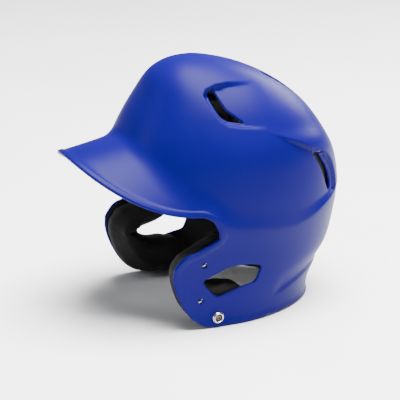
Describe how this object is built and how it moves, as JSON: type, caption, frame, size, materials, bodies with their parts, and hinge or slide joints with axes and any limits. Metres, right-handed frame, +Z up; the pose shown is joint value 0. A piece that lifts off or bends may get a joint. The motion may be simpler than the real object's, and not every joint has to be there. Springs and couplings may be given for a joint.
{
  "type": "batting helmet",
  "caption": "Two-ear baseball batting helmet: matte blue moulded shell with arched bill, vent scoops, ear ports, black foam liner, wrapped pads and strap and face-guard hardware.",
  "frame": {"origin": "middle of the underside of the bounding box, on the surface that the helmet rests on", "axes": "+Z up; -Y towards the tip of the bill; +X towards the wearer's left ear"},
  "size_m": [0.2, 0.2924, 0.2554],
  "materials": {
    "shell_paint": "matte moulded royal blue",
    "liner_foam": "black closed-cell foam",
    "pad_cloth": "black brushed knit over foam",
    "plated_steel": "bright nickel plating",
    "screw_brass": "dull yellow plating"
  },
  "bodies": {
    "root": {"shell": "shell_paint", "crown_foam": "liner_foam", "brow_foam": "liner_foam", "left_side_foam": "liner_foam", "right_side_foam": "liner_foam", "left_temple_foam": "liner_foam", "right_temple_foam": "liner_foam", "rear_foam": "liner_foam", "nape_foam": "liner_foam", "crown_pad": "pad_cloth", "brow_pad": "pad_cloth", "left_temple_pad": "pad_cloth", "right_temple_pad": "pad_cloth", "left_rear_pad": "liner_foam", "right_rear_pad": "liner_foam", "nape_pad": "pad_cloth", "left_ear_pad": "liner_foam", "right_ear_pad": "liner_foam", "left_jaw_pad": "pad_cloth", "right_jaw_pad": "pad_cloth", "left_upper_guard_insert": "plated_steel", "left_lower_guard_insert": "plated_steel", "right_upper_guard_insert": "plated_steel", "right_lower_guard_insert": "plated_steel", "left_snap_stud": "plated_steel", "right_snap_stud": "plated_steel", "left_snap_screw": "screw_brass", "right_snap_screw": "screw_brass", "left_snap_nut": "plated_steel", "right_snap_nut": "plated_steel"}
  },
  "joints": []
}
